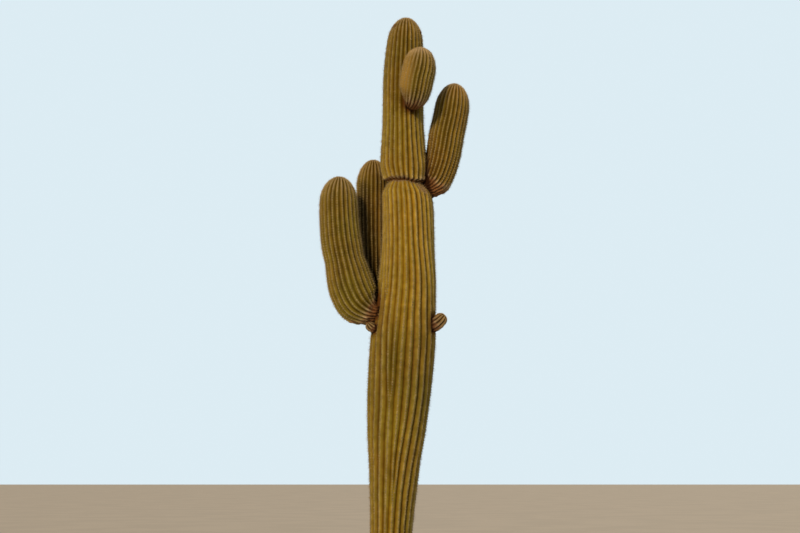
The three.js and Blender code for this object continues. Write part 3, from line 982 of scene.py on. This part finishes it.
spineKinds = {  # centrals, then radials: how many, lean from straight out, length; then thickness
    "young": ((5, (15, 60), (0.010, 0.018)), (9, (58, 84), (0.007, 0.012)), 0.0009),
    "straw": ((5, (15, 66), (0.012, 0.027)), (9, (60, 86), (0.008, 0.013)), 0.0009),
    "old": ((4, (20, 72), (0.010, 0.026)), (8, (66, 88), (0.006, 0.011)), 0.0009),
    "dark": ((2, (20, 70), (0.008, 0.016)), (6, (66, 88), (0.005, 0.010)), 0.0008),
}
padKinds = {  # half width, half height, how far it stands out
    "young": (0.0044, 0.0062, 0.0044), "straw": (0.0044, 0.0074, 0.0040),
    "old": (0.0042, 0.0066, 0.0030), "dark": (0.0038, 0.0056, 0.0024),
}
kindSockets = {kind: kind.title() + " Material" for kind in spineKinds}
shapesPerKind = 4
mostSites = 3000  # areoles in one piece, which keeps each piece's mesh light
droop = 0.25  # the centrals hang a little
stoutness = (1.25, 0.9)  # of centrals and radials
spineSpot = (0.002, 0.003, 0.0012)  # half width and half height of where they leave, and how far out
spineFaces = ((0, 1, 3), (1, 2, 3), (2, 0, 3), (0, 2, 1))


def spineShape(kind, rng):
    *groups, thickness = spineKinds[kind]
    verts, faces = [], []
    for (count, leans, lengths), stout, hang in zip(groups, stoutness, (droop, 0)):
        first = rng.uniform(0, math.tau)
        for k in range(count):
            around = first + math.tau * (k + rng.uniform(-0.3, 0.3)) / count
            lean = math.radians(rng.uniform(*leans))
            long = rng.uniform(*lengths)
            way = Vector((math.cos(around) * math.sin(lean), math.sin(around) * math.sin(lean),
                          math.cos(lean)))
            if hang:
                way.y -= hang
                way.normalize()
            root = Vector((way.x * spineSpot[0], way.y * spineSpot[1], spineSpot[2]))
            across = way.orthogonal().normalized()
            other = way.cross(across)
            faces += [[len(verts) + corner for corner in face] for face in spineFaces]
            for corner in range(3):
                turn = math.tau * corner / 3
                edge = across * math.cos(turn) + other * math.sin(turn)
                verts.append(tuple(root + edge * thickness * stout))
            verts.append(tuple(root + way * long))
    return verts, faces


def padShape(kind, rng):
    wide, tall, high = padKinds[kind]
    sides = 6
    verts = []
    for level, share in ((-0.2, 1.0), (0.62, 0.74)):  # of its height and its width
        for k in range(sides):
            turn = math.tau * k / sides
            swell = share * rng.uniform(0.88, 1.12)
            verts.append((wide * math.cos(turn) * swell, tall * math.sin(turn) * swell, high * level))
    verts.append((0, 0, high))
    faces = [tuple(reversed(range(sides)))]
    for k in range(sides):
        nextK = (k + 1) % sides
        faces.append((k, nextK, nextK + sides, k + sides))
        faces.append((k + sides, nextK + sides, 2 * sides))
    return verts, faces


def shapeCollection(title, maker, seed):
    rng = np.random.default_rng(seed)
    collection = bpy.data.collections.new(title)
    for number, kind in enumerate(spineKinds):
        for k in range(shapesPerKind):
            name = f"{title}_{number}_{k}"
            collection.objects.link(bpy.data.objects.new(name, meshOf(name, *maker(kind, rng))))
    return collection


def areoleTree():
    graph, got, put = newGroup("Areole Clusters", "GeometryNodeTree", {
        "Geometry": "Geometry", "Shapes": "Collection", "Shapes Per Kind": "Int", "Seed": "Int",
        "Size Variation": "Float", "Turn Variation": "Float", "Tilt Variation": "Float",
        **dict.fromkeys(kindSockets.values(), "Material")}, {"Geometry": "Geometry"})
    out, named = graph.out, graph.named

    def spread(name, seedStep, middle=0.0):  # up to the named input to both sides of the middle
        return out("FunctionNodeRandomValue", {
            2: graph.minus(middle, got[name]), 3: graph.plus(middle, got[name]),
            "Seed": graph.plus(got["Seed"], seedStep)}, data_type="FLOAT", slot=1)

    shapes = out("GeometryNodeCollectionInfo", {
        "Collection": got["Shapes"], "Separate Children": True, "Reset Children": True})
    pick = out("FunctionNodeRandomValue", {
        5: graph.minus(got["Shapes Per Kind"], 1.0), "Seed": got["Seed"]}, data_type="INT", slot=2)
    kind = named("siteKind")
    facing = out("FunctionNodeAxesToRotation", {
        "Primary Axis": named("siteOut", "FLOAT_VECTOR"),
        "Secondary Axis": named("siteUp", "FLOAT_VECTOR")}, primary_axis="Z", secondary_axis="Y")
    turn = out("ShaderNodeCombineXYZ", {
        0: spread("Tilt Variation", 3.0), 1: spread("Tilt Variation", 5.0),
        2: spread("Turn Variation", 7.0)})
    twist = out("FunctionNodeEulerToRotation", {0: turn})
    placed = out("GeometryNodeInstanceOnPoints", {
        "Points": got["Geometry"], "Instance": shapes, "Pick Instance": True,
        "Instance Index": graph.timesPlus(kind, got["Shapes Per Kind"], pick),
        "Rotation": out("FunctionNodeRotateRotation", {0: facing, 1: twist}, rotation_space="LOCAL"),
        "Scale": graph.times(named("siteSize"), spread("Size Variation", 11.0, 1.0))})
    shape = out("GeometryNodeRealizeInstances", {0: placed})
    for number, name in enumerate(kindSockets.values()):
        isKind = out("FunctionNodeCompare", {0: kind, 1: float(number), "Epsilon": 0.1},
                     data_type="FLOAT", operation="EQUAL")
        shape = out("GeometryNodeSetMaterial", {
            "Geometry": shape, "Selection": isKind, "Material": got[name]})
    graph.feed(put["Geometry"], shape)
    return graph.tree


def siteFacts(name, sites, rng):  # kind and size of each areole by its distance from the tip
    form = formOf(name)
    toTip = sites[:, 9] + rng.normal(0, areoles["tipStray"], len(sites))
    kind = np.where(toTip < form["youngReach"], 0, 1)
    oldShare = blendOf(*areoles["oldShare"], valueAt(trunkLook["worn"], sites[:, 2]))
    worn = rng.uniform(0, 1, len(sites)) < oldShare
    if name == "trunk":
        kind = np.where((kind == 1) & worn, 2, kind)
        toNext = gapToLimbs(sites[:, :3])
    else:
        toNext = -depthInTrunk(sites[:, :3])
    toNext = toNext + rng.normal(0, areoles["seatStray"], len(sites))
    reach, least = areoles["smallTip"]
    size = np.interp(toTip, (0, reach), (least, 1)) * form["areoleSize"]
    # the dark kind paints the shade beside a seat
    return np.where(toNext < form["darkReach"], 3, kind), size


clusters = areoleTree()
coverings = {  # shapes, finishes, how much the size varies
    "Spines": (shapeCollection("spineShapes", spineShape, 5), spineMaterials, 0.22),
    "Pads": (shapeCollection("padShapes", padShape, 6), padMaterials, 0.15),
}
spineCount = 0
for number, (name, sites) in enumerate(allSites.items()):
    rng = np.random.default_rng(areoles["seed"] + number)
    sites = sites[np.argsort(sites[:, 2], kind="stable")]
    kind, size = siteFacts(name, sites, rng)
    slices = np.array_split(np.arange(len(sites)), math.ceil(len(sites) / mostSites))
    for part, chosen in enumerate(slices):
        here = sites[chosen]
        for title, (shapes, materials, variation) in coverings.items():
            label = name + title + (f"_{part + 1}" if len(slices) > 1 else "")
            facts = {"siteKind": kind[chosen], "siteSize": size[chosen]}
            ways = {"siteOut": here[:, 3:6], "siteUp": here[:, 6:9]}
            piece = growNodes(addPiece(label, meshOf(label, here[:, :3], [], facts, ways)), clusters, {
                "Shapes": shapes, "Shapes Per Kind": shapesPerKind, "Seed": 100 + 10 * number + part,
                "Size Variation": variation, "Turn Variation": 0.5, "Tilt Variation": 0.12,
                **{socket: materials[key] for key, socket in kindSockets.items()}})
            for layer in (*facts, *ways):
                piece.data.attributes.remove(piece.data.attributes[layer])
            settle(piece, "spines")
            spineCount += len(piece.data.polygons)
for shapes, _, _ in coverings.values():
    bpy.data.batch_remove([*(shape.data for shape in shapes.objects), *shapes.objects, shapes])
print("areoles:", spineCount, "faces of spines and felt")


# floor, light and camera

stage = {
    "floorRadius": 300.0, "floorTones": ((0.62, 0.585, 0.53), (0.58, 0.55, 0.5)),
    "backdrop": (0.72, 0.84, 0.9), "skyLight": (0.80, 0.83, 0.85), "skyStrength": 0.18,
}
suns = {  # tone, strength, azimuth, height, spread
    "key": ((1.0, 0.72, 0.40), 2.4, -22.5, 20, 8),
    "fill": ((0.93, 0.90, 0.95), 0.33, 42, 22, 60),
    "back": ((1.0, 0.88, 0.7), 1.3, 160, 30, 40),
}
camera = {"place": (0.1303, -11.25, 1.5), "tilt": 9.47, "lens": 56.25, "farthest": 200.0}


def addFloor():
    sides, radius = 96, stage["floorRadius"]
    turns = [math.tau * k / sides for k in range(sides)]
    verts = [(0, 0, 0)] + [(radius * math.cos(turn), radius * math.sin(turn), 0) for turn in turns]
    faces = [(0, k + 1, (k + 1) % sides + 1) for k in range(sides)]
    floor = addPiece("floor", meshOf("floor", verts, faces))
    floor.data.materials.append(driftMaterial("pale floor", stage["floorTones"], 0.5, 30.0, 0.9, 0.001))


def addSun(name, tone, strength, azimuth, height, spread):
    lamp = bpy.data.lights.new(name, "SUN")
    lamp.color = tone
    lamp.energy = strength
    lamp.angle = math.radians(spread)
    around, above = math.radians(azimuth), math.radians(height)
    towards = Vector((math.sin(around) * math.cos(above), -math.cos(around) * math.cos(above),
                      math.sin(above)))
    light = addPiece(name, lamp)
    light.location = towards * 12
    light.rotation_euler = towards.to_track_quat("Z", "Y").to_euler()


def addSky():
    world = bpy.data.worlds.new("studio")
    world.use_nodes = True
    bpy.context.scene.world = world
    graph = Graph(world.node_tree)
    graph.tree.nodes.clear()
    soft = graph.out("ShaderNodeBackground", {0: stage["skyLight"], 1: stage["skyStrength"]})
    shown = graph.out("ShaderNodeBackground", {0: stage["backdrop"], 1: 1.0})
    seen = graph.out("ShaderNodeLightPath", slot="Is Camera Ray")
    both = graph.out("ShaderNodeMixShader", {0: seen, 1: soft, 2: shown})
    graph.node("ShaderNodeOutputWorld", {"Surface": both})


def addCamera():
    view = bpy.data.cameras.new("camera")
    view.lens = camera["lens"]
    view.sensor_width = 36.0
    view.clip_end = camera["farthest"]
    eye = addPiece("camera", view)
    eye.location = camera["place"]
    eye.rotation_euler = (math.radians(90 + camera["tilt"]), 0, 0)
    bpy.context.scene.camera = eye


addFloor()
for name, sun in suns.items():
    addSun(name, *sun)
addSky()
addCamera()
bpy.context.scene.view_settings.view_transform = "Standard"
print("stage: floor, three soft suns and the camera")
